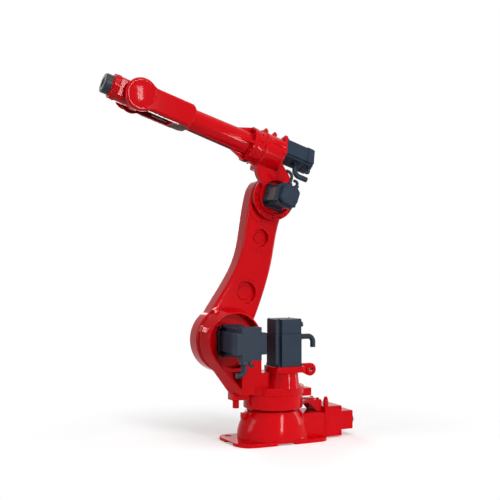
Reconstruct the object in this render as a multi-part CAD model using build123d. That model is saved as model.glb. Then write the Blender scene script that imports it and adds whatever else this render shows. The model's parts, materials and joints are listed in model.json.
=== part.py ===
"""Six-axis industrial robot arm with servo motors, at rest with the lower arm leaning back."""
import os
from math import cos, radians, sin

from build123d import *

# Main axes, with the origin on the floor under the swivel axis, X forward and Y to the motor side
shoulder_x = 310.5
shoulder_z = 668.0
lower_length = 975.0
elbow_offset = 268.0
wrist_reach = 1072.0
flange_reach = 225.0
arm_lean = 18.75
forearm_lean = 18.1

# Working gaps
bearing_gap = 0.3
cut_over = 40.0
bury = 4.0

# Base
plate_half_x = 318.0
plate_half_y = 200.0
plate_corner = 62.0
plate_round = 120.0
plate_top = 25.0
relief_x = 66.0
relief_y = 58.0
relief_depth = 12.0
floor_edge_x = 58.0
floor_edge_y = 60.0
floor_hole_r = 11.0
floor_face_r = 24.0
floor_face_depth = 4.0
bell_low_x = 246.0
bell_low_y = 199.0
bell_mid_x = 232.0
bell_mid_y = 190.0
bell_top_r = 174.0
bell_mid_z = 112.0
bell_top_z = 207.0
tail_half_y = 110.0
tail_over = 14.0
tail_top_z = 176.0
tail_edge_r = 14.0
box_length = 130.0
box_top_z = 211.0
box_bottom_z = 9.0
box_edge_r = 8.0
socket_length = 98.0
plug_half_y = 92.0
plug_bottom_z = 45.0
plug_top_z = 170.0
gland_inset = 24.0
gland_y = 78.0
gland_r = 18.0
gland_neck_r = 10.0
gland_body = 34.0
gland_tip = 62.0
zero_lug_x = 230.0
zero_lug_half_y = 16.0
zero_lug_depth = 50.0
zero_lug_low_z = 153.0
zero_lug_top_z = 195.0

# Swivel stop on the base
stop_arc_r = 206.0
stop_inset = 2.0
stop_half_y = 70.0
stop_low_z = 235.0
stop_top_z = 254.0
stop_leg = 38.0
stop_wall = 16.0
stop_cap_start = 34.0
stop_cap_end = 94.0
stop_cap_half_y = 30.0
stop_cap = 9.0

# Swivel joint and turntable
neck_r = 142.0
skirt_r = 196.0
skirt_low_z = 221.0
rim_r = 205.0
rim_low_z = 315.0
rim_top_z = 363.0
rim_edge_r = 5.0
rim_notch_turn = 46.0
rim_notch_w = 20.0
rim_notch_depth = 9.0
nose_root = 150.0
nose_reach = 308.0
nose_half_y = 40.0
nose_low_z = 281.0
nose_top_z = 326.0
pin_x = 268.0
pin_r = 21.0
pin_low_z = 228.0
tail_lug_reach = 252.0
tail_lug_root = 120.0
tail_lug_y0 = -10.0
tail_lug_y1 = 70.0
tail_lug_low_z = 286.0
tail_lug_top_z = 338.0

# Shoulder bracket of the column
web_y0 = 2.0
web_y1 = 24.0
cup_y = 97.0
cup_rim_r = 183.0
cup_back_r = 212.0
cup_wall = 12.0
cup_ring = 14.0
foot_back_rear = 117.0
foot_back_front = 313.0
foot_rim_rear = 132.0
foot_rim_front = 256.0
foot_low_z = 321.0
pocket_wall = 13.0
rib_x0 = 232.0
rib_x1 = 272.0
rib_y1 = 106.0
rib_top_z = 480.0
pedestal_x0 = 36.0
pedestal_y0 = -70.0
pedestal_y1 = 99.0
pedestal_top_z = 458.0
stop_lug_root_r = 178.0
stop_lug_r = 238.0
stop_lug_w = 38.0
stop_lug_y0 = 40.0
stop_lug_y1 = 78.0
stop_lug_turn = 21.0
rest_lug_r = 234.0
rest_lug_turn = 62.0

# Swivel motor
swivel_x = -25.0
swivel_y = 112.0
swivel_side = 188.0
swivel_notch = 30.0
swivel_low_z = 500.0
swivel_top_z = 803.0
swivel_flange = 14.0
swivel_flange_side = 194.0
swivel_cap = 92.0
swivel_cap_step = 0.6
swivel_plug_z = 683.0
swivel_signal_z = 778.0
post_low_r = 100.0
post_top_r = 88.0
motor_seat_z = 460.0
motor_seat_side = 204.0
motor_seat_corner = 22.0
hoist_root_x = -127.0
hoist_root_w = 14.0
hoist_root_low_z = 462.0
hoist_root_top_z = 508.0
hoist_eye_x = -214.0
hoist_eye_z = 466.0
hoist_eye_r = 42.0
hoist_hole_r = 13.0
hoist_boss_r = 32.0
hoist_half_y = 11.0
hoist_boss_half_y = 24.0

# Shoulder motor
shoulder_side = 204.0
shoulder_notch = 35.0
shoulder_flange = 24.0
shoulder_motor_y0 = 24.0
shoulder_cap_y = 262.0
shoulder_end_y = 332.0
shoulder_core_side = 178.0
shoulder_core_notch = 26.0
shoulder_plug_x = 38.0

# Plugs on the motors
plug_block = 50.0
plug_block_height = 24.0
plug_pipe_r = 17.5
plug_bend_r = 36.0
plug_reach = 66.0
long_reach = 94.0
plug_drop = 72.0
signal_block = 26.0
signal_block_height = 12.0
signal_pipe_r = 10.0
signal_bend_r = 16.0
signal_reach = 24.0
signal_drop = 30.0
short_drop = 50.0

# Lower arm, in its own frame from the shoulder axis
arm_y0 = -156.0
arm_y1 = -22.0
arm_foot_r = 218.0
arm_head_r = 145.0
front_x_shares = (0.1785, 0.111, 0.092, 0.106, 0.1487)
front_z_shares = (0.1343, 0.397, 0.530, 0.700, 1.0)
arm_edge_r = 22.0
arm_far_edge_r = 14.0
rear_x_shares = (-0.142, -0.152, -0.141, -0.116, -0.112)
rear_z_shares = (0.172, 0.390, 0.610, 0.790, 0.905)
pocket_low_r = 73.0
pocket_low_x = -19.0
pocket_low_z = 325.0
pocket_high_r = 58.0
pocket_high_x = -6.0
pocket_high_z = 699.0
pocket_depth = 30.0
plug_boss_share = 0.62
pocket_floor = 6.0
foot_cap_r = 120.0
head_cap_r = 86.0
hub_cap = 12.0
shoulder_gear_r = 172.0
elbow_gear_r = 112.0
stop_block_x = 90.0
stop_block_z = 186.0
stop_block_w = 50.0
stop_block_h = 32.0
stop_block_y = 14.0

# Elbow housing, in its own frame from the elbow axis
elbow_back_y = -2.0
elbow_ring_y = 16.0
elbow_ring_r = 148.0
elbow_rim_y = 50.0
elbow_rim_r = 117.0
elbow_wall = 9.0
elbow_floor_y = 10.0
barrel_r = 118.0
barrel_rear = 53.0
barrel_front = 203.0
barrel_edge_r = 8.0
roll_band_r = 113.0
roll_band_front = 258.0
neck_front_u_shares = (0.418, 0.463, 0.672, 0.728, 0.735)
neck_front_v_shares = (0.075, 0.164, 0.396, 0.560, 0.709)
neck_rear_u_shares = (-0.433, -0.410, -0.093, 0.067, 0.183)
neck_rear_v_shares = (0.0, 0.149, 0.690, 0.810, 1.0)
neck_far_y = -62.0
neck_far_v = 130.0
neck_far_u = -20.0
neck_clear_r = 157.0
lug_u_shares = (0.447, 0.7)
lug_length = 28.0
lug_width = 30.0
lug_height = 20.0
elbow_flange = 20.0
elbow_side = 150.0
elbow_notch = 20.0
elbow_motor_y0 = 10.0
elbow_core_side = 128.0
elbow_core_notch = 18.0
elbow_cap_y = 168.0
elbow_end_y = 204.0
elbow_coder_side = 116.0
elbow_coder_y = 250.0
elbow_coder_cut = 24.0

# Forearm roll motor, parallel to the forearm
roll_y = 30.0
roll_up = 311.0
roll_twist = 22.0
roll_boss_r = 62.0
roll_boss_tip_r = 46.0
roll_boss_front = 150.0
roll_seat = 22.0
roll_seat_side = 150.0
roll_seat_corner = 12.0
roll_side = 132.0
roll_notch = 14.0
roll_cap = -112.0
roll_end = -162.0
roll_cap_grow = 6.0
roll_plug_u = -60.0
roll_plug_reach = 68.0
roll_plug_drop = 96.0
roll_signal_u = -146.0
roll_signal_reach = 36.0

# Forearm
fore_ring_r = 117.0
fore_ring_front = 288.0
fore_tube_r = 77.0
fore_taper_r = 70.0
fore_rib_front = 404.0
fore_rib_w = 22.0
fork_root = 716.0
slot_end = 817.0
slot_half = 66.0
cheek_y = 84.0
cover_y = 104.0
cheek_end_r = 92.0
cheek_waist = 76.0
cover_rear = 706.0
cover_end_r = 103.0
cover_rear_r = 46.0
fork_bevel = 22.0
cover_waist = 70.0
cover_blend_r = 90.0
cover_edge_r = 15.0
cover_dome = 6.0
cover_groove_r = 84.0
cover_groove_w = 3.0
cover_groove_depth = 2.5
far_end_r = 84.0
far_end_shift = 37.0

# Wrist and tool flange
hub_r = 80.0
hub_half = 60.0
pivot_r = 48.0
drum_r = 77.0
collar_length = 38.0
collar_r = 79.5
nose_lip = 8.0
nose_lip_r = 66.0
tool_length = 45.0
tool_r = 62.5
tool_rim_r = 59.0
tool_rim = 8.0
tool_recess_r = 31.5
tool_recess = 6.0
tool_pcd = 100.0
tool_hole_r = 4.25
tool_hole_depth = 16.0
tool_holes = 6
tool_bore_r = 20.0
tool_bore_depth = 34.0


# Round bodies stand on their first end
standing = (Align.CENTER, Align.CENTER, Align.MIN)


def cyl_x(radius, x0, x1):
    return Pos(x0, 0, 0) * Rot(0, 90, 0) * Cylinder(radius, x1 - x0, align=standing)


def cyl_y(radius, y0, y1):
    return Pos(0, y0, 0) * Rot(-90, 0, 0) * Cylinder(radius, y1 - y0, align=standing)


def cyl_z(radius, z0, z1):
    return Pos(0, 0, z0) * Cylinder(radius, z1 - z0, align=standing)


def cone_y(r0, r1, y0, y1):
    return Pos(0, y0, 0) * Rot(-90, 0, 0) * Cone(r0, r1, y1 - y0, align=standing)


def block(x0, x1, y0, y1, z0, z1):
    return Pos(x0, y0, z0) * Box(x1 - x0, y1 - y0, z1 - z0, align=(Align.MIN, Align.MIN, Align.MIN))


def slab(face, y0, y1):
    # A face drawn in X and Z, as thick as y0 to y1
    plane = Plane(origin=(0, y1, 0), x_dir=(1, 0, 0), z_dir=(0, -1, 0))
    return extrude(plane * face, y1 - y0)


def notched(side, notch, height):
    # A motor section with square notches at its corners, standing on Z
    face = Rectangle(side, side)
    for sx in (-1, 1):
        for sy in (-1, 1):
            face -= Pos(sx * side / 2, sy * side / 2) * Rectangle(2 * notch, 2 * notch)
    return extrude(face, height)


def plug(side, height, pipe_r, bend_r, reach, drop):
    # A connector block on the XY plane, with an elbow that turns towards X
    path = FilletPolyline((0, 0, 0), (0, 0, height + reach), (drop, 0, height + reach), radius=bend_r)
    pipe = sweep(Plane(path @ 0, z_dir=path % 0) * Circle(pipe_r), path)
    return extrude(RectangleRounded(side, side, side / 6), height) + pipe


def side_view(y):
    # A plane at Y that is drawn on in X and Z
    return Plane(origin=(0, y, 0), x_dir=(1, 0, 0), z_dir=(0, -1, 0))


def shell(radius, rear, front):
    # The shoulder bracket's outline: the drum and its foot in one taut line
    foot_height = rim_top_z - foot_low_z
    ring = Pos(shoulder_x, shoulder_z) * Circle(radius)
    foot = Pos((rear + front) / 2, foot_low_z + foot_height / 2) * Rectangle(front - rear, foot_height)
    return make_hull(ring.edges() + foot.edges())


def cover(end_r, shift):
    # A wrist cover: a round end at or before the bend axis, blended into a straight waist
    end_u = wrist_reach + shift
    length = end_u - cover_rear
    body = Pos(cover_rear + length / 2, 0) * Rectangle(length, 2 * cover_waist)
    body = fillet(body.vertices().group_by(Axis.X)[0], cover_rear_r)
    body += Pos(end_u, 0) * Circle(end_r)
    body = fillet(body.vertices().group_by(Axis.X)[-1], cover_blend_r)
    plate_part = slab(body, cheek_y, cover_y)
    plate_part = fillet(plate_part.edges().group_by(Axis.Y)[-1], cover_edge_r)
    groove_r = cover_groove_r * end_r / cover_end_r
    dome_r = groove_r - cover_groove_w
    ring = cyl_y(groove_r, cover_y - cover_groove_depth, cover_y + cut_over)
    ring -= cyl_y(dome_r, cover_y - cut_over, cover_y + 2 * cut_over)
    ball_r = (dome_r ** 2 + cover_dome ** 2) / (2 * cover_dome)
    dome = cyl_y(dome_r, cover_y - bury, cover_y + cover_dome)
    dome &= Pos(0, cover_y + cover_dome - ball_r, 0) * Sphere(ball_r)
    return plate_part - Pos(end_u, 0, 0) * ring + Pos(end_u, 0, 0) * dome


shoulder = Location((shoulder_x, 0, shoulder_z))
lower = Location((shoulder_x, 0, shoulder_z), (0, -arm_lean, 0))
elbow_x = shoulder_x - lower_length * sin(radians(arm_lean))
elbow_z = shoulder_z + lower_length * cos(radians(arm_lean))
upper = Location((elbow_x, 0, elbow_z), (0, -forearm_lean, 0))
fore = upper * Pos(0, 0, elbow_offset)
wrist = fore * Pos(wrist_reach, 0, 0)
parts = {}

# Base casting: domed bell on a rounded plate, with a tail to the connection box
tail_rear_x = -plate_half_x - tail_over
box_rear_x = tail_rear_x - box_length
plate = Rectangle(2 * plate_half_x, 2 * plate_half_y)
spots = plate.vertices().sort_by(Axis((0, 0, 0), (1, 1, 0)))
plate = fillet([spots[0], spots[-1]], plate_round)
spots = plate.vertices().sort_by(Axis((0, 0, 0), (1, -1, 0)))
plate = fillet([spots[0], spots[-1]], plate_corner)
base = extrude(plate, plate_top)
bell = loft([Ellipse(bell_low_x, bell_low_y), Pos(0, 0, bell_mid_z) * Ellipse(bell_mid_x, bell_mid_y),
             Pos(0, 0, bell_top_z) * Ellipse(bell_top_r, bell_top_r)])
tail = block(tail_rear_x, 0, -tail_half_y, tail_half_y, relief_depth, tail_top_z)
tail = fillet(tail.edges().filter_by(Axis.X).group_by(Axis.Z)[-1], tail_edge_r)
base += bell + tail
base -= block(-relief_x, relief_x, -plate_half_y - cut_over, plate_half_y + cut_over, -cut_over, relief_depth)
base -= block(-plate_half_x - cut_over, plate_half_x + cut_over, -relief_y, relief_y, -cut_over, relief_depth)
for sx in (-1, 1):
    for sy in (-1, 1):
        spot = Pos(sx * (plate_half_x - floor_edge_x), sy * (plate_half_y - floor_edge_y), 0)
        base -= spot * cyl_z(floor_hole_r, -cut_over, plate_top + cut_over)
        base -= spot * cyl_z(floor_face_r, plate_top - floor_face_depth, plate_top + cut_over)
parts["base_casting"] = base

box_part = block(box_rear_x, tail_rear_x, -tail_half_y, tail_half_y, box_bottom_z, box_top_z)
parts["connection_box"] = fillet(box_part.edges().filter_by(Axis.X), box_edge_r)
gland = cyl_z(gland_r, 0, gland_body) + Pos(0, 0, gland_body) * Cone(
    gland_r, gland_neck_r, gland_tip - gland_body, align=standing)
parts["box_gland"] = Pos(tail_rear_x - gland_inset, gland_y, box_top_z) * gland
socket = block(box_rear_x - socket_length, box_rear_x, -plug_half_y, plug_half_y, plug_bottom_z, plug_top_z)
parts["socket_housing"] = fillet(socket.edges().filter_by(Axis.X), box_edge_r)
parts["swivel_zero_lug"] = block(zero_lug_x - zero_lug_depth, zero_lug_x, -zero_lug_half_y, zero_lug_half_y,
                                 zero_lug_low_z, zero_lug_top_z) - bell

# Stop bracket of the swivel: a plate round the turntable on a leg with two gussets
stop_far_x = tail_rear_x + stop_inset
bracket = block(stop_far_x, 0, -stop_half_y, stop_half_y, stop_low_z, stop_top_z)
bracket -= cyl_z(stop_arc_r, stop_low_z - cut_over, stop_top_z + cut_over)
bracket += block(stop_far_x, stop_far_x + stop_leg, -stop_half_y, stop_half_y, tail_top_z, stop_low_z)
gusset = make_face(Polyline((stop_far_x + stop_leg, tail_top_z), (stop_far_x + stop_cap_end, stop_low_z),
                            (stop_far_x + stop_leg, stop_low_z), close=True))
bracket += slab(gusset, stop_half_y - stop_wall, stop_half_y)
bracket += slab(gusset, -stop_half_y, stop_wall - stop_half_y)
bracket += block(stop_far_x + stop_cap_start, stop_far_x + stop_cap_end, -stop_cap_half_y, stop_cap_half_y,
                 stop_top_z, stop_top_z + stop_cap)
parts["swivel_stop_bracket"] = bracket
parts["swivel_reducer"] = cyl_z(neck_r, bell_top_z, skirt_low_z - bearing_gap)

# Column: turntable, motor post, pedestal and the open shoulder cup
column = cyl_z(skirt_r, skirt_low_z, rim_low_z)
disc = cyl_z(rim_r, rim_low_z, rim_top_z)
disc = fillet(disc.edges().filter_by(GeomType.CIRCLE), rim_edge_r)
notch = block(rim_r - rim_notch_depth, rim_r + cut_over, -rim_notch_w / 2, rim_notch_w / 2,
              rim_low_z - cut_over, rim_top_z + cut_over)
disc -= Rot(0, 0, rim_notch_turn) * notch
column += disc
column += block(nose_root, nose_reach, -nose_half_y, nose_half_y, nose_low_z, nose_top_z)
column += block(-tail_lug_reach, -tail_lug_root, tail_lug_y0, tail_lug_y1, tail_lug_low_z, tail_lug_top_z)
column += block(pedestal_x0, rib_x0, pedestal_y0, pedestal_y1, rim_top_z - bury, pedestal_top_z)
column += Pos(swivel_x, swivel_y, rim_top_z - bury) * Cone(
    post_low_r, post_top_r, motor_seat_z - rim_top_z + 2 * bury, align=standing)
column += Pos(swivel_x, swivel_y, motor_seat_z) * extrude(
    RectangleRounded(motor_seat_side, motor_seat_side, motor_seat_corner), swivel_low_z - motor_seat_z)
back_face = shell(cup_back_r, foot_back_rear, foot_back_front)
rim_face = shell(cup_rim_r, foot_rim_rear, foot_rim_front)
column += loft([side_view(web_y0) * back_face, side_view(cup_y) * rim_face], ruled=True)
column += block(rib_x0, rib_x1, web_y0, rib_y1, rim_top_z - bury, rib_top_z)
for turn, outer, y0, y1 in ((stop_lug_turn, stop_lug_r, stop_lug_y0, stop_lug_y1),
                            (rest_lug_turn, rest_lug_r, web_y0, web_y1)):
    lug = block(stop_lug_root_r, outer, y0, y1, -stop_lug_w / 2, stop_lug_w / 2)
    column += shoulder * Rot(0, -turn, 0) * lug
column -= shoulder * cone_y(cup_back_r - 2 * cup_wall, cup_rim_r - cup_wall, web_y1, cup_y + bury)
hole = offset(rim_face, amount=-pocket_wall, kind=Kind.INTERSECTION)
hole -= Pos(shoulder_x, shoulder_z) * Circle(cup_rim_r + cup_ring)
hole -= Pos(rib_x1 - shoulder_x, shoulder_z) * Rectangle(2 * shoulder_x, 2 * shoulder_z)
column -= slab(hole, web_y1, cup_y + cut_over)
parts["column_casting"] = column

parts["swivel_stop_pin"] = Pos(pin_x, 0, 0) * cyl_z(pin_r, pin_low_z, nose_low_z)
eye = Pos(hoist_eye_x, hoist_eye_z) * Circle(hoist_eye_r)
root = Pos(hoist_root_x - hoist_root_w / 2, (hoist_root_low_z + hoist_root_top_z) / 2) * Rectangle(
    hoist_root_w, hoist_root_top_z - hoist_root_low_z)
hoist = slab(make_hull(eye.edges() + root.edges()), swivel_y - hoist_half_y, swivel_y + hoist_half_y)
eye_spot = Pos(hoist_eye_x, swivel_y, hoist_eye_z)
hoist += eye_spot * cyl_y(hoist_boss_r, -hoist_boss_half_y, hoist_boss_half_y)
parts["hoist_bracket"] = hoist - eye_spot * cyl_y(hoist_hole_r, -cut_over, cut_over)

# Swivel motor
spot = Pos(swivel_x, swivel_y, swivel_low_z)
body_top = swivel_top_z - swivel_cap
motor = notched(swivel_flange_side, swivel_notch, swivel_flange)
parts["swivel_motor_body"] = spot * (motor + notched(swivel_side, swivel_notch, body_top - swivel_low_z))
parts["swivel_motor_cap"] = Pos(swivel_x, swivel_y, body_top) * notched(
    swivel_side - 2 * swivel_cap_step, swivel_notch, swivel_cap)
side_x = swivel_x - swivel_side / 2
backward = Rot(0, -90, 0) * Rot(0, 0, 180)
parts["swivel_power_plug"] = Pos(side_x, swivel_y, swivel_plug_z) * backward * plug(
    plug_block, plug_block_height, plug_pipe_r, plug_bend_r, long_reach, plug_drop)
parts["swivel_signal_plug"] = Pos(side_x + swivel_cap_step, swivel_y, swivel_signal_z) * backward * plug(
    signal_block, signal_block_height, signal_pipe_r, signal_bend_r, signal_reach, signal_drop)

# Shoulder motor
front = shoulder * Pos(0, shoulder_motor_y0, 0) * Rot(-90, 0, 0)
length = shoulder_cap_y - shoulder_motor_y0
motor = notched(shoulder_side, shoulder_notch, shoulder_flange)
motor += notched(shoulder_core_side, shoulder_core_notch, length)
parts["shoulder_motor_body"] = front * motor
parts["shoulder_motor_cap"] = front * Pos(0, 0, length) * notched(
    shoulder_side, shoulder_notch, shoulder_end_y - shoulder_cap_y)
plug_y = (shoulder_cap_y + shoulder_end_y) / 2
under = Pos(shoulder_x, plug_y, shoulder_z - shoulder_side / 2) * Rot(180, 0, 0)
parts["shoulder_power_plug"] = under * Pos(shoulder_plug_x, 0, 0) * plug(
    plug_block, plug_block_height, plug_pipe_r, plug_bend_r, plug_reach, short_drop)
parts["shoulder_signal_plug"] = under * Rot(0, 0, 180) * plug(
    signal_block, signal_block_height, signal_pipe_r, signal_bend_r, signal_reach, signal_drop)
parts["shoulder_reducer"] = shoulder * cyl_y(shoulder_gear_r, arm_y1 + bearing_gap, web_y0)

# Lower arm: bowed casting between two discs, with two round pockets and a stop block
front_pts = [(x * lower_length, z * lower_length) for x, z in zip(front_x_shares, front_z_shares)]
rear_pts = [(x * lower_length, z * lower_length) for x, z in zip(rear_x_shares, rear_z_shares)]
with BuildSketch() as arm_face:
    with BuildLine():
        Spline(*front_pts)
        Line(front_pts[-1], rear_pts[-1])
        Spline(*reversed(rear_pts))
        Line(rear_pts[0], front_pts[0])
    make_face()
    Circle(arm_foot_r)
    with Locations((0, lower_length)):
        Circle(arm_head_r)
arm = slab(arm_face.sketch, arm_y0, arm_y1)
arm = fillet(arm.edges().group_by(Axis.Y)[-1], arm_edge_r)
arm = fillet(arm.edges().group_by(Axis.Y)[0], arm_far_edge_r)
floor_y = arm_y1 - pocket_depth
for x, z, radius in ((pocket_low_x, pocket_low_z, pocket_low_r),
                     (pocket_high_x, pocket_high_z, pocket_high_r)):
    arm -= Pos(x, 0, z) * cyl_y(radius, floor_y, arm_y1 + cut_over)
    arm += Pos(x, 0, z) * cyl_y(radius * plug_boss_share, floor_y - bury, floor_y + pocket_floor)
arm += block(stop_block_x - stop_block_w / 2, stop_block_x + stop_block_w / 2,
             arm_y1 - bury, arm_y1 + stop_block_y,
             stop_block_z - stop_block_h / 2, stop_block_z + stop_block_h / 2)
parts["lower_arm_casting"] = lower * arm
parts["shoulder_hub_cap"] = lower * cyl_y(foot_cap_r, arm_y0 - hub_cap, arm_y0)
head = lower * Pos(0, 0, lower_length)
parts["elbow_hub_cap"] = head * cyl_y(head_cap_r, arm_y0 - hub_cap, arm_y0)
parts["elbow_reducer"] = head * cyl_y(elbow_gear_r, arm_y1, elbow_back_y - bearing_gap)

# Elbow housing: cup with a ring flange, a flared neck and the roll barrel
front_pts = [(u * elbow_offset, v * elbow_offset) for u, v in zip(neck_front_u_shares, neck_front_v_shares)]
rear_pts = [(u * elbow_offset, v * elbow_offset) for u, v in zip(neck_rear_u_shares, neck_rear_v_shares)]
with BuildSketch() as neck_face:
    with BuildLine():
        Spline(*front_pts)
        Line(front_pts[-1], rear_pts[-1])
        Spline(*reversed(rear_pts))
        Line(rear_pts[0], front_pts[0])
    make_face()
neck = neck_face.sketch
far_neck = neck & Pos(neck_far_u, neck_far_v) * Rectangle(
    elbow_offset, elbow_offset, align=(Align.MIN, Align.MIN))
far_neck -= Circle(neck_clear_r)
housing = cyl_y(elbow_ring_r, elbow_back_y, elbow_ring_y) + cyl_y(elbow_rim_r, elbow_back_y, elbow_rim_y)
housing += slab(neck, elbow_back_y, elbow_rim_y)
housing += slab(far_neck, neck_far_y, elbow_back_y + bury)
up = Pos(0, 0, elbow_offset)
barrel = cyl_x(barrel_r, barrel_rear, barrel_front)
housing += up * fillet(barrel.edges().filter_by(GeomType.CIRCLE), barrel_edge_r)
for share in lug_u_shares:
    housing += up * block(share * elbow_offset - lug_length / 2, share * elbow_offset + lug_length / 2,
                          -lug_width / 2, lug_width / 2, barrel_r - 2 * bury, barrel_r + lug_height)
housing += Pos(barrel_rear, roll_y, roll_up) * Rot(0, 90, 0) * Cone(
    roll_boss_r, roll_boss_tip_r, roll_boss_front - barrel_rear, align=standing)
axis = Pos(barrel_rear, roll_y, roll_up) * Rot(roll_twist, 0, 0) * Rot(0, -90, 0)
housing += axis * Pos(0, 0, -roll_seat) * extrude(
    RectangleRounded(roll_seat_side, roll_seat_side, roll_seat_corner), roll_seat)
roll_room = roll_side + 2 * bearing_gap
housing -= axis * extrude(Rectangle(roll_room, roll_room), barrel_rear - roll_cap)
housing -= cyl_y(elbow_rim_r - elbow_wall, elbow_floor_y, elbow_rim_y + cut_over)
parts["elbow_housing"] = upper * housing
parts["roll_reducer"] = fore * cyl_x(roll_band_r, barrel_front, roll_band_front - bearing_gap)

# Elbow motor
front = upper * Pos(0, elbow_motor_y0, 0) * Rot(-90, 0, 0)
length = elbow_cap_y - elbow_motor_y0
motor = notched(elbow_side, elbow_notch, elbow_flange) + notched(elbow_core_side, elbow_core_notch, length)
parts["elbow_motor_body"] = front * motor
parts["elbow_motor_cap"] = front * Pos(0, 0, length) * notched(
    elbow_side, elbow_notch, elbow_end_y - elbow_cap_y)
coder = extrude(chamfer(Rectangle(elbow_coder_side, elbow_coder_side).vertices(), elbow_coder_cut),
                elbow_coder_y - elbow_end_y)
parts["elbow_motor_coder"] = front * Pos(0, 0, elbow_end_y - elbow_motor_y0) * coder
above = upper * Pos(0, (elbow_cap_y + elbow_end_y) / 2, elbow_side / 2)
parts["elbow_power_plug"] = above * plug(
    signal_block, signal_block_height, signal_pipe_r, plug_bend_r, plug_reach, short_drop)
parts["elbow_signal_plug"] = above * Pos(-plug_block, 0, 0) * plug(
    signal_block, signal_block_height, signal_pipe_r, signal_bend_r, signal_reach, signal_drop)

# Forearm roll motor
axis = upper * axis
length = barrel_rear - roll_cap
roll_cap_side = roll_side + roll_cap_grow
parts["roll_motor_body"] = axis * notched(roll_side, roll_notch, length)
parts["roll_motor_cap"] = axis * Pos(0, 0, length) * notched(roll_cap_side, roll_notch, roll_cap - roll_end)
turned = upper * Pos(0, roll_y, roll_up) * Rot(roll_twist, 0, 0)
parts["roll_power_plug"] = turned * Pos(roll_plug_u, 0, -roll_side / 2) * Rot(0, 180, 0) * plug(
    plug_block, signal_block_height, plug_pipe_r, plug_bend_r, roll_plug_reach, roll_plug_drop)
below = turned * Pos(roll_signal_u, roll_side / 4, -roll_cap_side / 2) * Rot(180, 0, 0)
parts["roll_signal_plug"] = below * plug(
    signal_block, signal_block_height, signal_pipe_r, signal_bend_r, roll_signal_reach, signal_drop)

# Forearm: ringed tube with ribs, opening into a fork
arm = cyl_x(fore_ring_r, roll_band_front, fore_ring_front)
arm += Pos(fore_ring_front - bury, 0, 0) * Rot(0, 90, 0) * Cone(
    fore_tube_r, fore_taper_r, slot_end - fore_ring_front + bury, align=standing)
for turn in (0, 90, 180, 270):
    rib = make_face(Polyline((fore_ring_front - bury, 0), (fore_ring_front - bury, fore_ring_r - bury),
                             (fore_rib_front, fore_taper_r), (fore_rib_front, 0), close=True))
    arm += Rot(turn, 0, 0) * slab(rib, -fore_rib_w / 2, fore_rib_w / 2)
fork = block(fork_root, wrist_reach, -cheek_y, cheek_y, -cheek_waist, cheek_waist)
fork = chamfer(fork.edges().filter_by(Axis.Z).group_by(Axis.X)[0], fork_bevel)
fork += Pos(wrist_reach, 0, 0) * cyl_y(cheek_end_r, -cheek_y, cheek_y)
arm += fork
arm -= block(slot_end, wrist_reach + cheek_end_r + cut_over, -slot_half, slot_half,
             -cheek_end_r - cut_over, cheek_end_r + cut_over)
parts["forearm_casting"] = fore * arm
parts["near_wrist_cover"] = fore * cover(cover_end_r, 0)
parts["far_wrist_cover"] = fore * mirror(cover(far_end_r, far_end_shift), Plane.XZ)

# Wrist: a drum with flat sides in the fork, a round collar in front of it, and the tool flange
nose_end = flange_reach - tool_length
collar_front = nose_end - nose_lip
hub = cyl_y(hub_r, -hub_half, hub_half)
hub += cyl_y(pivot_r, bearing_gap - slot_half, slot_half - bearing_gap)
hub += cyl_x(drum_r, 0, collar_front) & block(0, collar_front, -hub_half, hub_half, -drum_r, drum_r)
hub += cyl_x(collar_r, collar_front - collar_length, collar_front)
hub += cyl_x(nose_lip_r, collar_front, nose_end - bearing_gap)
parts["wrist_housing"] = wrist * hub
tool = cyl_x(tool_r, nose_end, flange_reach - tool_rim)
tool += cyl_x(tool_rim_r, flange_reach - tool_rim, flange_reach)
tool -= cyl_x(tool_recess_r, flange_reach - tool_recess, flange_reach + cut_over)
tool -= cyl_x(tool_bore_r, flange_reach - tool_bore_depth, flange_reach + cut_over)
for i in range(tool_holes):
    turn = 360 * i / tool_holes
    tool -= Rot(turn, 0, 0) * Pos(0, 0, tool_pcd / 2) * cyl_x(
        tool_hole_r, flange_reach - tool_hole_depth, flange_reach + cut_over)
parts["tool_flange"] = wrist * tool

os.makedirs("parts", exist_ok=True)
for name, solid in parts.items():
    export_step(solid, f"parts/{name}.step")
print(len(parts), "parts written")
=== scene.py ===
import json
import math

import bmesh
import bpy
from mathutils import Matrix, Vector
from mathutils.bvhtree import BVHTree
from mathutils.kdtree import KDTree


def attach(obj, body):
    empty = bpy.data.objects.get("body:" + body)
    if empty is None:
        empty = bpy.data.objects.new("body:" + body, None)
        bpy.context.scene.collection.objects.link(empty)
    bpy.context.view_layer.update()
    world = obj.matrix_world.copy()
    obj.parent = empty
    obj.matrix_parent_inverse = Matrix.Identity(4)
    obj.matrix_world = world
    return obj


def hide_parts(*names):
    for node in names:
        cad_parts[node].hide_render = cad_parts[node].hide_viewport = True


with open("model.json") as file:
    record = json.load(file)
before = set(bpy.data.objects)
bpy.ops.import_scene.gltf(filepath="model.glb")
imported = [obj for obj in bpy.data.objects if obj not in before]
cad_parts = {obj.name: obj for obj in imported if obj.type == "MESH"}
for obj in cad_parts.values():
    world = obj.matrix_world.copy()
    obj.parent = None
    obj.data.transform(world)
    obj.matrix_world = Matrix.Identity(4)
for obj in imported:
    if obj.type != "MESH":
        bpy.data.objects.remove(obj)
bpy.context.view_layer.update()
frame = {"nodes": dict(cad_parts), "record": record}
nodes = frame["nodes"]
scene = bpy.context.scene
scene.view_settings.view_transform = "Standard"
bodyOf = {node: body for body, names in frame["record"]["behaviour"]["bodies"].items() for node in names}
print("frame loaded,", len(nodes), "nodes")

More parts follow.
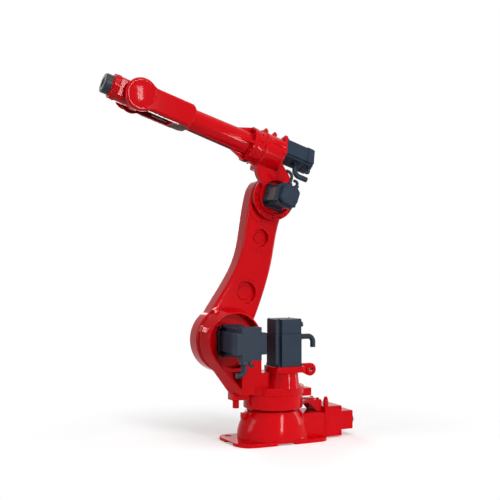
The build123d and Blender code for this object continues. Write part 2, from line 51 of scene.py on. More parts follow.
# Places of the joints, in metres
armSet = {"shoulder": (0.3105, 0.0, 0.668), "lean": 18.75, "lowerLength": 0.975,
          "rise": 18.1, "elbowOffset": 0.268, "wristReach": 1.072}
shoulderAt = Matrix.Translation(armSet["shoulder"])
lowerAt = shoulderAt @ Matrix.Rotation(math.radians(-armSet["lean"]), 4, "Y")
elbowPoint = lowerAt @ Vector((0, 0, armSet["lowerLength"]))
headAt = lowerAt @ Matrix.Translation((0, 0, armSet["lowerLength"]))
upperAt = Matrix.Translation(elbowPoint) @ Matrix.Rotation(math.radians(-armSet["rise"]), 4, "Y")
foreAt = upperAt @ Matrix.Translation((0, 0, armSet["elbowOffset"]))
wristAt = foreAt @ Matrix.Translation((armSet["wristReach"], 0, 0))
towardY = Matrix.Rotation(math.radians(-90), 4, "X")  # local Z points to +Y
towardFarY = Matrix.Rotation(math.radians(90), 4, "X")  # local Z points to -Y
towardX = Matrix.Rotation(math.radians(90), 4, "Y")  # local Z points to +X
towardBack = Matrix.Rotation(math.radians(-90), 4, "Y")  # local Z points to -X


def move(x, y, z):
    return Matrix.Translation((x, y, z))


def turnZ(degrees):
    return Matrix.Rotation(math.radians(degrees), 4, "Z")


# Finishes
finishSet = {
    "redPaint": {"colour": (0.580, 0.0004, 0.0045), "rough": 0.09, "specular": 0.09,
                 "tone": 0.05, "toneScale": 3.0, "grain": 420.0, "grainDepth": 0.000003},
    "castRed": {"colour": (0.500, 0.0004, 0.0040), "rough": 0.26, "specular": 0.12,
                "tone": 0.08, "toneScale": 6.0, "grain": 260.0, "grainDepth": 0.00010},
    "motorSlate": {"colour": (0.0230, 0.0355, 0.0570), "rough": 0.42, "specular": 0.10,
                   "tone": 0.10, "toneScale": 9.0, "grain": 900.0, "grainDepth": 0.00006},
    "statorGrey": {"colour": (0.110, 0.108, 0.100), "rough": 0.50, "specular": 0.2,
                   "tone": 0.14, "toneScale": 14.0, "grain": 700.0, "grainDepth": 0.00008},
    "plugSlate": {"colour": (0.0170, 0.0270, 0.0420), "rough": 0.38, "specular": 0.16,
                  "tone": 0.12, "toneScale": 20.0, "grain": 600.0, "grainDepth": 0.00005},
    "boltSteel": {"colour": (0.30, 0.30, 0.31), "rough": 0.34, "specular": 0.5,
                  "tone": 0.15, "toneScale": 60.0, "grain": 900.0, "grainDepth": 0.00003, "metal": 0.9},
    "darkSteel": {"colour": (0.0190, 0.0260, 0.0350), "rough": 0.36, "specular": 0.20,
                  "tone": 0.15, "toneScale": 30.0, "grain": 700.0, "grainDepth": 0.00003},
    "flangeGrey": {"colour": (0.230, 0.218, 0.228), "rough": 0.42, "specular": 0.3,
                   "tone": 0.10, "toneScale": 40.0, "grain": 800.0, "grainDepth": 0.00003},
    # a dark red that paints shade on the far cheek's inner face, the fork's underside and the ridges at the
    # slot's root
    "paintedShadeRed": {"colour": (0.070, 0.0006, 0.0014), "rough": 0.50, "specular": 0.03,
                "tone": 0.12, "toneScale": 12.0, "grain": 300.0, "grainDepth": 0.00008},
    "markRed": {"colour": (0.170, 0.0004, 0.0016), "rough": 0.50, "specular": 0.1,
                "tone": 0.15, "toneScale": 90.0, "grain": 600.0, "grainDepth": 0.00002},
}


# What every finish shares: soft clouds of tone, a gloss that varies with them, and a fine grain
grainSet = {"cloudDetail": 4.0, "darkAt": 0.35, "paleAt": 0.65, "grainDetail": 2.0,
            "glossLow": 0.8, "glossHigh": 1.2, "bump": 0.35}


def makeFinish(name):
    f = finishSet[name]
    mat = bpy.data.materials.new(name)
    mat.use_nodes = True
    tree = mat.node_tree
    shader = tree.nodes["Principled BSDF"]
    shader.inputs["Metallic"].default_value = f.get("metal", 0.0)
    shader.inputs["Specular IOR Level"].default_value = f["specular"]
    place = tree.nodes.new("ShaderNodeTexCoord")
    cloud = tree.nodes.new("ShaderNodeTexNoise")  # slow change of tone over a casting
    cloud.inputs["Scale"].default_value = f["toneScale"]
    cloud.inputs["Detail"].default_value = grainSet["cloudDetail"]
    tree.links.new(place.outputs["Object"], cloud.inputs["Vector"])
    ramp = tree.nodes.new("ShaderNodeValToRGB")
    ramp.color_ramp.elements[0].position = grainSet["darkAt"]
    ramp.color_ramp.elements[0].color = (*[c * (1 - f["tone"]) for c in f["colour"]], 1)
    ramp.color_ramp.elements[1].position = grainSet["paleAt"]
    ramp.color_ramp.elements[1].color = (*[c * (1 + f["tone"]) for c in f["colour"]], 1)
    tree.links.new(cloud.outputs["Fac"], ramp.inputs["Fac"])
    tree.links.new(ramp.outputs["Color"], shader.inputs["Base Color"])
    peel = tree.nodes.new("ShaderNodeTexNoise")  # orange peel of the paint, or the grain of bare metal
    peel.inputs["Scale"].default_value = f["grain"]
    peel.inputs["Detail"].default_value = grainSet["grainDetail"]
    tree.links.new(place.outputs["Object"], peel.inputs["Vector"])
    gloss = tree.nodes.new("ShaderNodeMapRange")
    gloss.inputs["To Min"].default_value = f["rough"] * grainSet["glossLow"]
    gloss.inputs["To Max"].default_value = f["rough"] * grainSet["glossHigh"]
    tree.links.new(cloud.outputs["Fac"], gloss.inputs["Value"])
    tree.links.new(gloss.outputs["Result"], shader.inputs["Roughness"])
    bump = tree.nodes.new("ShaderNodeBump")
    bump.inputs["Strength"].default_value = grainSet["bump"]
    bump.inputs["Distance"].default_value = f["grainDepth"]
    tree.links.new(peel.outputs["Fac"], bump.inputs["Height"])
    tree.links.new(bump.outputs["Normal"], shader.inputs["Normal"])
    return mat


finish = {name: makeFinish(name) for name in finishSet}
print("finishes made")


def toPiece(bm, name, body, look, smoothAngle=30.0):
    bmesh.ops.recalc_face_normals(bm, faces=bm.faces)
    limit = math.radians(smoothAngle)
    for face in bm.faces:
        face.smooth = True
    for edge in bm.edges:
        if len(edge.link_faces) == 2 and edge.calc_face_angle(0.0) > limit:
            edge.smooth = False
    mesh = bpy.data.meshes.new(name)
    bm.to_mesh(mesh)
    bm.free()
    mesh.materials.append(finish[look])
    piece = bpy.data.objects.new(name, mesh)
    scene.collection.objects.link(piece)
    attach(piece, body)
    return piece


# CAD nodes copied with rounded edges: node, look, edge radius in metres
castingSet = {
    "base_casting": ("redPaint", 0.005), "connection_box": ("redPaint", 0.004),
    "box_gland": ("redPaint", 0.002), "socket_housing": ("redPaint", 0.004),
    "swivel_zero_lug": ("castRed", 0.003), "swivel_stop_bracket": ("castRed", 0.003),
    "swivel_reducer": ("castRed", 0.002), "column_casting": ("redPaint", 0.004),
    "swivel_stop_pin": ("castRed", 0.002), "hoist_bracket": ("redPaint", 0.003),
    "shoulder_reducer": ("castRed", 0.002), "lower_arm_casting": ("redPaint", 0.003),
    "shoulder_hub_cap": ("redPaint", 0.003), "elbow_hub_cap": ("redPaint", 0.003),
    "elbow_reducer": ("castRed", 0.002), "elbow_housing": ("redPaint", 0.004),
    "roll_reducer": ("redPaint", 0.003), "forearm_casting": ("redPaint", 0.004),
    "near_wrist_cover": ("redPaint", 0.001), "far_wrist_cover": ("redPaint", 0.001),
    "wrist_housing": ("redPaint", 0.003), "tool_flange": ("darkSteel", 0.0015),
    "swivel_motor_body": ("motorSlate", 0.003), "swivel_motor_cap": ("motorSlate", 0.003),
    "shoulder_motor_body": ("motorSlate", 0.003), "shoulder_motor_cap": ("motorSlate", 0.003),
    "elbow_motor_body": ("motorSlate", 0.003), "elbow_motor_cap": ("motorSlate", 0.003),
    "elbow_motor_coder": ("motorSlate", 0.003), "roll_motor_body": ("motorSlate", 0.003),
    "roll_motor_cap": ("motorSlate", 0.003), "swivel_power_plug": ("plugSlate", 0.002),
    "swivel_signal_plug": ("plugSlate", 0.0015), "shoulder_power_plug": ("plugSlate", 0.002),
    "shoulder_signal_plug": ("plugSlate", 0.0015), "elbow_power_plug": ("plugSlate", 0.0015),
    "elbow_signal_plug": ("plugSlate", 0.0015), "roll_power_plug": ("plugSlate", 0.002),
    "roll_signal_plug": ("plugSlate", 0.0015),
}


# Angles in degrees, clear and stray in edge radii, weld, same and known in metres
roundSet = {"weld": 0.00002, "flat": 0.4, "corner": 32.0, "segments": 2, "profile": 0.5, "smooth": 52.0,
            "tries": 9, "settle": 5, "same": 0.0003, "clear": 2.5, "stray": 1.2, "speck": 2e-7, "known": 0.03,
            "turned": -0.2}


def foldSpots(bm, skin, radius):
    # places where a rounded edge left the casting's skin or turned over
    spots = [v.co.copy() for v in bm.verts if skin.find_nearest(v.co)[3] > roundSet["stray"] * radius]
    for corners in bm.calc_loop_triangles():
        a, b, c = [corner.vert.co for corner in corners]
        normal = (b - a).cross(c - a)
        middle = (a + b + c) / 3
        if normal.length > roundSet["speck"]:
            if normal.normalized().dot(skin.find_nearest(middle)[1]) < roundSet["turned"]:
                spots.append(middle)
    return spots


def awayFrom(edge, tight, reach):
    a, b = [v.co for v in edge.verts]
    run = b - a
    for spot, index, far in tight.find_range((a + b) / 2, reach + run.length / 2):
        share = min(max((spot - a).dot(run) / run.length_squared, 0.0), 1.0)
        if (spot - a - run * share).length < reach:
            return False
    return True


def roundEdges(node, look, radius):
    spots = []  # too tight for a round edge, so their edges stay sharp
    for trial in range(roundSet["tries"] + 1):
        bm = bmesh.new()
        bm.from_mesh(nodes[node].data)
        bmesh.ops.remove_doubles(bm, verts=bm.verts, dist=roundSet["weld"])
        bmesh.ops.dissolve_limit(bm, angle_limit=math.radians(roundSet["flat"]), verts=bm.verts, edges=bm.edges)
        if trial == roundSet["tries"]:
            print(node, "keeps its sharp edges")
            break
        skin = BVHTree.FromBMesh(bm)
        known = foldSpots(bm, skin, radius)
        tight = KDTree(len(spots))
        for i, spot in enumerate(spots):
            tight.insert(spot, i)
        tight.balance()
        limit = math.radians(roundSet["corner"])
        corners = [e for e in bm.edges if len(e.link_faces) == 2 and e.calc_face_angle(0.0) > limit
                   and awayFrom(e, tight, (roundSet["clear"] + trial) * radius)]
        bmesh.ops.bevel(bm, geom=corners, offset=radius, offset_type="OFFSET", segments=roundSet["segments"],
                        profile=roundSet["profile"], affect="EDGES", clamp_overlap=False, loop_slide=True)
        found = [spot for spot in foldSpots(bm, skin, radius)
                 if all((spot - k).length > roundSet["known"] for k in known)]
        # a spot that comes back with its edges left sharp isn't from the rounding
        if trial >= roundSet["settle"]:
            found = [spot for spot in found if all((spot - s).length > roundSet["same"] for s in spots)]
        if not found:
            break
        bm.free()
        spots += found
    piece = toPiece(bm, node + ".painted", bodyOf[node], look, roundSet["smooth"])
    flat = piece.modifiers.new("flat", "WEIGHTED_NORMAL")  # keeps the broad faces flat beside the round edges
    flat.keep_sharp = True
    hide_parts(node)
    return piece


painted = {node: roundEdges(node, look, radius) for node, (look, radius) in castingSet.items()}
print("castings and motors painted,", len(painted))


toneAndShadeSet = {"facing": 0.95, "flangeRim": 0.21, "stator": 0.05, "cheekFrom": -0.08, "cheekTo": -0.05,
           "underside": -0.10, "undersideRoom": 0.03}


def twoToneOrShade(node, look, axis, low, high=math.inf):
    # a second finish, either a real second colour or painted shade, on the faces that look along an axis,
    # between two depths
    mesh = painted[node].data
    if finish[look].name not in mesh.materials:
        mesh.materials.append(finish[look])
    for face in mesh.polygons:
        if face.normal.dot(axis) > toneAndShadeSet["facing"] and low < face.center.dot(axis) < high:
            face.material_index = len(mesh.materials) - 1


foreAxis = foreAt.to_3x3() @ Vector((1, 0, 0))
downAxis = foreAt.to_3x3() @ Vector((0, 0, -1))
nearAxis = Vector((0, 1, 0))
e = toneAndShadeSet
twoToneOrShade("tool_flange", "flangeGrey", foreAxis, (wristAt @ Vector((e["flangeRim"], 0, 0))).dot(foreAxis))
twoToneOrShade("elbow_motor_body", "statorGrey", foreAxis, (upperAt @ Vector((e["stator"], 0, 0))).dot(foreAxis))
# painted shade: the far cheek's inner face and the fork's underside get a dark red where shade falls
twoToneOrShade("forearm_casting", "paintedShadeRed", nearAxis, e["cheekFrom"], e["cheekTo"])  # the far cheek inside the fork
underside = (foreAt @ Vector((0, 0, e["underside"]))).dot(downAxis) - e["undersideRoom"]
twoToneOrShade("forearm_casting", "paintedShadeRed", downAxis, underside)


sink = 0.001  # how far the foot of a small piece goes into its face


def addLoops(bm, at, loops):
    # skins a row of point loops and closes both ends
    rows = [[bm.verts.new(at @ Vector(p)) for p in loop] for loop in loops]
    for low, high in zip(rows, rows[1:]):
        for i in range(len(low)):
            j = (i + 1) % len(low)
            bm.faces.new((low[i], low[j], high[j], high[i]))
    bm.faces.new(rows[-1])
    bm.faces.new(list(reversed(rows[0])))


def circle(radius, height, steps=24):
    return [(radius * math.cos(2 * math.pi * i / steps), radius * math.sin(2 * math.pi * i / steps), height)
            for i in range(steps)]


def hexagon(apothem, height, steps=24):
    points = []
    for i in range(steps):
        angle = 2 * math.pi * i / steps
        reach = apothem / math.cos((angle + math.pi / 6) % (math.pi / 3) - math.pi / 6)
        points.append((reach * math.cos(angle), reach * math.sin(angle), height))
    return points


def addScrew(bm, at, radius, height):
    # socket screw: round head with a hexagon socket
    edge = radius * 0.14
    addLoops(bm, at, [circle(radius, -sink), circle(radius, height - edge), circle(radius - edge, height),
                      hexagon(radius * 0.48, height), hexagon(radius * 0.46, height * 0.45)])


def addHexBolt(bm, at, radius, height):
    # hexagon head on a washer
    addLoops(bm, at, [circle(radius * 1.45, -sink), circle(radius * 1.45, height * 0.22),
                      circle(radius * 1.30, height * 0.28), hexagon(radius, height * 0.28),
                      hexagon(radius, height * 0.92), circle(radius * 0.86, height)])


def addRing(bm, at, inner, outer, low, high, edge, steps=64):
    # a turned band that stands on a round body
    addTube(bm, at, [(inner, low), (outer - edge, low), (outer, low + edge), (outer, high - edge),
                     (outer - edge, high), (inner, high)], steps)


def addTube(bm, at, profile, steps=48):
    # a closed profile of radius and height, turned round
    rows = [[bm.verts.new(at @ Vector(p)) for p in circle(radius, height, steps)]
            for radius, height in profile]
    rows.append(rows[0])
    for low, high in zip(rows, rows[1:]):
        for i in range(steps):
            j = (i + 1) % steps
            bm.faces.new((low[i], low[j], high[j], high[i]))


def addStroke(bm, at, points, width, height):
    # a raised line through points of a plane, flat topped
    sides = []
    top = 0.8  # the flat top is narrower than the foot
    for i, (x, y) in enumerate(points):
        ax, ay = points[max(i - 1, 0)]
        bx, by = points[min(i + 1, len(points) - 1)]
        run = math.hypot(bx - ax, by - ay)
        nx, ny = -(by - ay) / run * width / 2, (bx - ax) / run * width / 2
        sides.append([(x + nx, y + ny, -sink), (x + nx * top, y + ny * top, height),
                      (x - nx * top, y - ny * top, height), (x - nx, y - ny, -sink)])
    addLoops(bm, at, sides)


def addBlock(bm, at, length, width, height, edge):
    # a plate or small box with bevelled top edges, standing on its plane
    def outline(inset, level):
        x, y = length / 2 - inset, width / 2 - inset
        c = min(x, y) * 0.25  # cut corners
        return [(x - c, -y, level), (x, c - y, level), (x, y - c, level), (x - c, y, level),
                (c - x, y, level), (-x, y - c, level), (-x, c - y, level), (c - x, -y, level)]
    addLoops(bm, at, [outline(0, -sink), outline(0, height - edge), outline(edge, height)])


def arcPoints(radius, start, stop, steps):
    return [(radius * math.cos(math.radians(start + (stop - start) * i / steps)),
             radius * math.sin(math.radians(start + (stop - start) * i / steps))) for i in range(steps + 1)]


def aroundZ(at, radius, angles):
    return [at @ turnZ(a) @ move(radius, 0, 0) for a in angles]


# Elbow flange: screws round its lower half, where the neck leaves the ring free
elbowScrewSet = {"radius": 0.1345, "face": 0.016, "first": 65.4, "step": 20.0, "places": range(-3, 6),
                 "head": 0.0075, "height": 0.009}
e = elbowScrewSet
bm = bmesh.new()
turns = [e["first"] + e["step"] * i for i in e["places"]]
for spot in aroundZ(upperAt @ move(0, e["face"], 0) @ towardY, e["radius"], turns):
    addScrew(bm, spot, e["head"], e["height"])
toPiece(bm, "elbowFlange.screws", "upper_arm", "castRed")

# Barrel: a seam band at each end, screws of the roll gear round the front band, caps on the top lugs
barrelSet = {"rear": 0.066, "front": 0.190, "radius": 0.118, "bury": 0.004, "band": 0.0035, "bandHalf": 0.006,
             "bandEdge": 0.0025, "gear": 0.113, "gearPlace": 0.231, "screw": 0.0062, "screwHeight": 0.006,
             "firstTurn": 10, "stepTurn": 30, "lugs": (0.1198, 0.1876), "lugTop": 0.138, "lugBolt": 0.008,
             "lugBoltHeight": 0.009}
e = barrelSet
bm = bmesh.new()
for place in (e["rear"], e["front"]):
    addRing(bm, foreAt @ move(place, 0, 0) @ towardX, e["radius"] - e["bury"], e["radius"] + e["band"],
            -e["bandHalf"], e["bandHalf"], e["bandEdge"])
for turn in range(0, 360, e["stepTurn"]):
    around = Matrix.Rotation(math.radians(turn + e["firstTurn"]), 4, "X")
    addScrew(bm, foreAt @ around @ move(e["gearPlace"], 0, e["gear"]), e["screw"], e["screwHeight"])
for place in e["lugs"]:
    addHexBolt(bm, foreAt @ move(place, 0, e["lugTop"]), e["lugBolt"], e["lugBoltHeight"])
toPiece(bm, "barrel.bands", "upper_arm", "castRed")

# Roll drive: a tapered boss on the barrel's near side, from the motor's seat forward
bossSet = {"at": (0.070, 0.084, 0.052), "steps": 40, "smooth": 40.0,
           "profile": ((0.035, 0.0), (0.031, 0.080), (0.027, 0.096), (0.019, 0.106), (0.008, 0.111))}
e = bossSet
bm = bmesh.new()
addLoops(bm, foreAt @ move(*e["at"]) @ towardX,
         [circle(radius, place, e["steps"]) for radius, place in e["profile"]])
toPiece(bm, "barrel.boss", "upper_arm", "redPaint", e["smooth"])

# Forearm ring: screws on its front face between the ribs
foreRingSet = {"face": 0.288, "radius": 0.101, "turns": (30, 60, 120, 150, 210, 240, 300, 330),
               "head": 0.0075, "height": 0.009}
e = foreRingSet
bm = bmesh.new()
for spot in aroundZ(foreAt @ move(e["face"], 0, 0) @ towardX, e["radius"], e["turns"]):
    addScrew(bm, spot, e["head"], e["height"])
toPiece(bm, "foreRing.screws", "forearm", "castRed")

# Fork: a bright sill along the lower edge of each cheek, a ledge on the far one and ridges at the slot's root
# Sizes are length, width, height and top edge
forkSet = {"start": 0.790, "stop": 1.000, "low": 0.076, "near": 0.075, "sill": (0.010, 0.004, 0.0015),
           "ledge": (0.878, -0.066, -0.056), "ledgeSize": (0.105, 0.006, 0.003, 0.001),
           "ridges": 6, "root": 0.817, "firstRidge": -0.058, "ridgeStep": 0.0232,
           "ridgeSize": (0.120, 0.007, 0.004, 0.0015)}
e = forkSet
bm = bmesh.new()
length = e["stop"] - e["start"]
for side in (-1, 1):
    under = move(e["start"] + length / 2, side * e["near"], -e["low"]) @ Matrix.Rotation(math.pi, 4, "X")
    addBlock(bm, foreAt @ under, length, *e["sill"])
addBlock(bm, foreAt @ move(*e["ledge"]) @ towardY, *e["ledgeSize"])
toPiece(bm, "fork.sills", "forearm", "boltSteel")
bm = bmesh.new()
# the ridges at the slot's root carry painted shade, a dark red
for i in range(e["ridges"]):
    ridge = move(e["root"], 0, e["firstRidge"] + e["ridgeStep"] * i)
    addBlock(bm, foreAt @ ridge @ towardX @ turnZ(90), *e["ridgeSize"])
toPiece(bm, "fork.ridges", "forearm", "paintedShadeRed")

# Wrist: bands on the collar and screws round it
# A band is its place, lift, low side, high side and edge
wristSet = {"collar": 0.0795, "bury": 0.004,
            "bands": ((0.150, 0.0018, -0.003, 0.003, 0.0012), (0.137, 0.0022, -0.003, 0.004, 0.0014)),
            "screw": 0.0045, "screwHeight": 0.003, "screwPlace": 0.161, "firstTurn": 20, "stepTurn": 60}
e = wristSet
bm = bmesh.new()
for place, lift, low, high, edge in e["bands"]:
    addRing(bm, wristAt @ move(place, 0, 0) @ towardX, e["collar"] - e["bury"], e["collar"] + lift,
            low, high, edge)
for turn in range(0, 360, e["stepTurn"]):
    around = Matrix.Rotation(math.radians(turn + e["firstTurn"]), 4, "X")
    addScrew(bm, wristAt @ around @ move(e["screwPlace"], 0, e["collar"]), e["screw"], e["screwHeight"])
toPiece(bm, "wrist.bands", "wrist", "castRed")

# Lower arm marks: the zero line, the arc below the elbow and the axis signs beside the pockets
markSet = {"face": -0.022, "high": (-0.010, 0.609), "low": (-0.019, 0.412), "gap": 0.030, "size": 0.016,
           "line": 0.0032, "lift": 0.0006, "zero": ((0.0237, -0.183), (0.0237, -0.211)), "zeroLine": 0.0045,
           "arcRadius": 0.187, "arcFrom": 52, "arcTo": 112, "arcSteps": 30, "arcLine": 0.006, "arcLift": 0.005,
           "tick": ((0.160, 0), (0.186, 0)), "tickTurn": 84}
e = markSet
armFace = lowerAt @ move(0, e["face"], 0) @ towardY  # its Y points down the arm
signs = {
    "plus": [[(-0.5, 0), (0.5, 0)], [(0, -0.5), (0, 0.5)]],
    "minus": [[(-0.5, 0), (0.5, 0)]],
    "2": [[(-0.35, -0.32), (-0.2, -0.5), (0.2, -0.5), (0.35, -0.3), (0.3, -0.08), (-0.38, 0.5), (0.4, 0.5)]],
    "3": [[(-0.35, -0.4), (0, -0.52), (0.33, -0.35), (0.28, -0.1), (0, -0.02), (0.34, 0.14), (0.34, 0.38),
           (0, 0.52), (-0.36, 0.4)]],
}
bm = bmesh.new()
for (x, z), digit in ((e["high"], "3"), (e["low"], "2")):
    for sign, shift in (("plus", -e["gap"]), (digit, 0.0), ("minus", e["gap"])):
        for line in signs[sign]:
            points = [(px * e["size"], py * e["size"]) for px, py in line]
            addStroke(bm, armFace @ move(x + shift, -z, 0), points, e["line"], e["lift"])
addStroke(bm, armFace, e["zero"], e["zeroLine"], e["lift"])
toPiece(bm, "lowerArm.marks", "lower_arm", "markRed")
bm = bmesh.new()
elbowFace = headAt @ move(0, e["face"], 0) @ towardY
arc = arcPoints(e["arcRadius"], e["arcFrom"], e["arcTo"], e["arcSteps"])
addStroke(bm, elbowFace, arc, e["arcLine"], e["arcLift"])
addStroke(bm, elbowFace @ turnZ(e["tickTurn"]), e["tick"], e["arcLine"], e["arcLift"])
toPiece(bm, "lowerArm.arc", "lower_arm", "castRed")

# Hub caps on the far side: a ring of screws on each, and a raised ring in the middle
hubSet = {"face": -0.168, "shoulder": (0.104, 12), "elbow": (0.073, 10), "head": 0.0085, "height": 0.010,
          "ringInner": 0.30, "ringOuter": 0.42, "ringLift": 0.004, "ringEdge": 0.0015}
e = hubSet
bm = bmesh.new()
for at, (radius, count) in ((lowerAt, e["shoulder"]), (headAt, e["elbow"])):
    hubFace = at @ move(0, e["face"], 0) @ towardFarY
    for spot in aroundZ(hubFace, radius, [360 * (i + 0.5) / count for i in range(count)]):
        addScrew(bm, spot, e["head"], e["height"])
    addRing(bm, hubFace, radius * e["ringInner"], radius * e["ringOuter"], -sink, e["ringLift"], e["ringEdge"])
toPiece(bm, "hubCaps.screws", "lower_arm", "castRed")
print("arm details built")

# Motors: screws in the corner notches and on each cap
motorSet = {
    "swivel": {"at": move(-0.025, 0.112, 0.500), "body": "column", "corner": 0.079, "head": 0.0105,
               "cap": 0.303, "capCorner": 0.073, "capHead": 0.006},
    "shoulder": {"at": shoulderAt @ move(0, 0.024, 0) @ towardY, "body": "column", "corner": 0.084,
                 "head": 0.0115, "cap": 0.308, "capCorner": 0.058, "capHead": 0.0065},
    "elbow": {"at": upperAt @ move(0, 0.010, 0) @ towardY, "body": "upper_arm", "corner": 0.0655,
              "head": 0.0080, "cap": 0.240, "capCorner": 0.036, "capHead": 0.005},
    "roll": {"at": upperAt @ move(0.053, 0.030, 0.311) @ Matrix.Rotation(math.radians(22), 4, "X") @ towardBack,
             "body": "upper_arm", "corner": 0.0595, "head": 0.0055, "cap": 0.215, "capCorner": 0.048,
             "capHead": 0.005},
}
headHeight, capHeadHeight = 0.014, 0.003
for name, m in motorSet.items():
    bm = bmesh.new()
    for sx in (-1, 1):
        for sy in (-1, 1):
            corner = move(sx * m["corner"], sy * m["corner"], 0)
            addScrew(bm, m["at"] @ corner, m["head"], headHeight)
            capCorner = move(sx * m["capCorner"], sy * m["capCorner"], m["cap"])
            addScrew(bm, m["at"] @ capCorner, m["capHead"], capHeadHeight)
    toPiece(bm, name + "Motor.screws", m["body"], "plugSlate")

print("motor details built")

# Column: nut over the stop pin, bolts on the hoist bracket and screws round the turntable
columnSet = {"pin": (0.268, 0.0, 0.326), "nut": 0.016, "nutHeight": 0.018,
             "hoist": ((-0.141, 0.470), (-0.141, 0.496)), "hoistShift": 0.006, "hoistFace": 0.123,
             "hoistBolt": 0.0065, "hoistBoltHeight": 0.007, "rim": 0.363, "rimRadius": 0.187,
             "rimTurns": (110, 128, 215, 235, 255, 275, 293), "rimHead": 0.009, "rimHeight": 0.011}
e = columnSet
bm = bmesh.new()
addHexBolt(bm, move(*e["pin"]), e["nut"], e["nutHeight"])
for x, z in e["hoist"]:
    place = move(x + e["hoistShift"], e["hoistFace"], z)
    addHexBolt(bm, place @ towardY, e["hoistBolt"], e["hoistBoltHeight"])
for spot in aroundZ(move(0, 0, e["rim"]), e["rimRadius"], e["rimTurns"]):
    addScrew(bm, spot, e["rimHead"], e["rimHeight"])
toPiece(bm, "column.bolts", "column", "castRed")

# Base: cover screws of the connection box, sockets on the rear and screws of the stop bracket
boxSet = {"near": 0.110, "screw": 0.006, "screwHeight": 0.004, "screwX": (-0.448, -0.346),
          "screwZ": (0.024, 0.196), "bracketX": -0.314, "bracketY": (-0.040, 0.040), "bracketTop": 0.254, "bracketBolt": 0.009,
          "bracketBoltHeight": 0.010, "socketRear": -0.560, "socketY": (-0.048, 0.048), "socketZ": 0.107,
          "socket": ((0.034, -0.002), (0.034, 0.010), (0.031, 0.012), (0.026, 0.012), (0.025, 0.003),
                     (0.012, 0.003), (0.012, -0.002)),
          "pinRadius": 0.017, "pinStep": 45, "pinFloor": 0.002, "pinSteps": 10,
          "pin": ((0.0018, -sink), (0.0018, 0.006), (0.0009, 0.007))}
e = boxSet
bm = bmesh.new()
for x in e["screwX"]:
    for z in e["screwZ"]:
        for side, facing in ((1, towardY), (-1, towardFarY)):
            addScrew(bm, move(x, side * e["near"], z) @ facing, e["screw"], e["screwHeight"])
for y in e["bracketY"]:
    addHexBolt(bm, move(e["bracketX"], y, e["bracketTop"]), e["bracketBolt"], e["bracketBoltHeight"])
toPiece(bm, "base.bolts", "base", "castRed")
bm = bmesh.new()
for y in e["socketY"]:
    at = move(e["socketRear"], y, e["socketZ"]) @ towardBack
    addTube(bm, at, e["socket"])
    for spot in aroundZ(at @ move(0, 0, e["pinFloor"]), e["pinRadius"], range(0, 360, e["pinStep"])):
        addLoops(bm, spot, [circle(radius, height, e["pinSteps"]) for radius, height in e["pin"]])
toPiece(bm, "base.sockets", "base", "plugSlate")
print("column and base details built")

# Camera at the photo's place: level, a little above half height
cameraSet = {"place": (2.6153, 5.1478, 1.1486), "yaw": 25.44, "lensPx": 877.5, "imagePx": 500.0,
             "horizonPx": 265.2, "sensor": 36.0}
camData = bpy.data.cameras.new("camera")
camData.sensor_width = cameraSet["sensor"]
camData.lens = cameraSet["lensPx"] / cameraSet["imagePx"] * camData.sensor_width
camData.shift_y = (cameraSet["horizonPx"] - cameraSet["imagePx"] / 2) / cameraSet["imagePx"]
camera = bpy.data.objects.new("camera", camData)
scene.collection.objects.link(camera)
camera.location = cameraSet["place"]
camera.rotation_euler = (math.radians(90), 0, math.radians(180 - cameraSet["yaw"]))
scene.camera = camera

# Softboxes: place, size, strength in watts and the point that each is turned to
lightSet = {
    "window": {"place": (-1.08, 4.55, 0.66), "size": (0.56, 1.10), "watts": 72.0, "aim": (0.1, 0, 0.6)},
    "upper": {"place": (-0.28, 4.60, 3.15), "size": (0.58, 1.5), "watts": 92.0, "aim": (0.7, 0, 1.9)},
    "front": {"place": (4.7, 0.1, 2.0), "size": (1.8, 2.2), "watts": 66.0, "aim": (0.3, 0, 1.2)},
    "back": {"place": (-0.4, -4.4, 2.2), "size": (1.8, 2.6), "watts": 80.0, "aim": (0.2, 0, 1.1)},
    "side": {"place": (-4.2, 0.9, 1.4), "size": (1.0, 2.2), "watts": 40.0, "aim": (0, 0, 0.9)},
    "top": {"place": (0.4, 1.9, 4.9), "size": (3.0, 2.2), "watts": 74.0, "aim": (0.3, 0, 1.0)},
}
for name, box in lightSet.items():
    data = bpy.data.lights.new(name, "AREA")
    data.shape = "RECTANGLE"
    data.size, data.size_y = box["size"]
    data.energy = box["watts"]
    lamp = bpy.data.objects.new(name, data)
    scene.collection.objects.link(lamp)
    lamp.location = box["place"]
    lamp.rotation_euler = (Vector(box["aim"]) - Vector(box["place"])).to_track_quat("-Z", "Y").to_euler()


def whiteToEye(tree, strong, soft):
    # the seen and mirrored background is white, and only a softer white lights the arm
    path = tree.nodes.new("ShaderNodeLightPath")
    first = tree.nodes.new("ShaderNodeMath")
    first.operation = "MAXIMUM"
    second = tree.nodes.new("ShaderNodeMath")
    second.operation = "MAXIMUM"
    tree.links.new(path.outputs["Is Camera Ray"], first.inputs[0])
    tree.links.new(path.outputs["Is Glossy Ray"], first.inputs[1])
    tree.links.new(first.outputs[0], second.inputs[0])
    tree.links.new(path.outputs["Is Transmission Ray"], second.inputs[1])
    level = tree.nodes.new("ShaderNodeMapRange")
    level.inputs["To Min"].default_value = soft
    level.inputs["To Max"].default_value = strong
    tree.links.new(second.outputs[0], level.inputs["Value"])
    return level.outputs["Result"]


softWhite = 0.10  # the share of the white background that lights the arm
world = bpy.data.worlds.new("studio")
scene.world = world
world.use_nodes = True
back = world.node_tree.nodes["Background"]
back.inputs["Color"].default_value = (1, 1, 1, 1)
world.node_tree.links.new(whiteToEye(world.node_tree, 1.0, softWhite), back.inputs["Strength"])

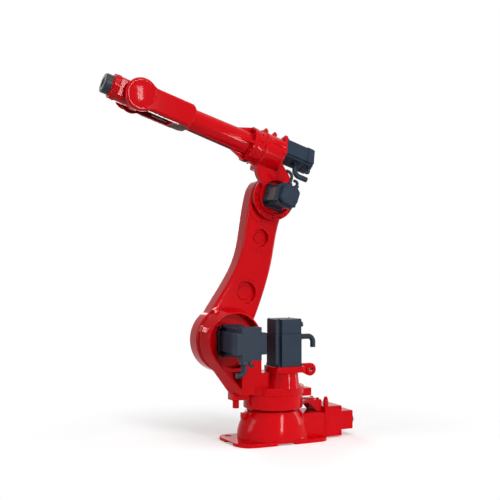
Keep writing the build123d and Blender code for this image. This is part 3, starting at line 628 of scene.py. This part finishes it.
# Floor: white paper that keeps the shadow near the arm and runs out to plain white
paperSet = {"reach": 40.0, "shadeFrom": 0.8, "shadeTo": 1.9, "fill": 0.24, "rough": 0.9, "specular": 0.1,
            "fibre": 300.0, "low": 0.93, "high": 0.97}
reach = paperSet["reach"]
floorMesh = bpy.data.meshes.new("floor")
corners = [(-reach, -reach, 0), (reach, -reach, 0), (reach, reach, 0), (-reach, reach, 0)]
floorMesh.from_pydata(corners, [], [(0, 1, 2, 3)])
floor = bpy.data.objects.new("floor", floorMesh)
scene.collection.objects.link(floor)
paper = bpy.data.materials.new("paperWhite")
paper.use_nodes = True
tree = paper.node_tree
shader = tree.nodes["Principled BSDF"]
shader.inputs["Roughness"].default_value = paperSet["rough"]
shader.inputs["Specular IOR Level"].default_value = paperSet["specular"]
shader.inputs["Emission Color"].default_value = (1, 1, 1, 1)
fibre = tree.nodes.new("ShaderNodeTexNoise")
fibre.inputs["Scale"].default_value = paperSet["fibre"]
tint = tree.nodes.new("ShaderNodeValToRGB")
tint.color_ramp.elements[0].color = (*[paperSet["low"]] * 3, 1)
tint.color_ramp.elements[1].color = (*[paperSet["high"]] * 3, 1)
tree.links.new(fibre.outputs["Fac"], tint.inputs["Fac"])
tree.links.new(tint.outputs["Color"], shader.inputs["Base Color"])
tree.links.new(whiteToEye(tree, paperSet["fill"], 0.0), shader.inputs["Emission Strength"])
far = tree.nodes.new("ShaderNodeEmission")
tree.links.new(whiteToEye(tree, 1.0, softWhite), far.inputs["Strength"])
place = tree.nodes.new("ShaderNodeTexCoord")
distance = tree.nodes.new("ShaderNodeVectorMath")
distance.operation = "LENGTH"
tree.links.new(place.outputs["Object"], distance.inputs[0])
fade = tree.nodes.new("ShaderNodeMapRange")
fade.interpolation_type = "SMOOTHSTEP"
fade.inputs["From Min"].default_value = paperSet["shadeFrom"]
fade.inputs["From Max"].default_value = paperSet["shadeTo"]
tree.links.new(distance.outputs["Value"], fade.inputs["Value"])
join = tree.nodes.new("ShaderNodeMixShader")
tree.links.new(fade.outputs["Result"], join.inputs[0])
tree.links.new(shader.outputs[0], join.inputs[1])
tree.links.new(far.outputs[0], join.inputs[2])
tree.links.new(join.outputs[0], tree.nodes["Material Output"].inputs["Surface"])
floorMesh.materials.append(paper)
print("camera, lights and floor set")
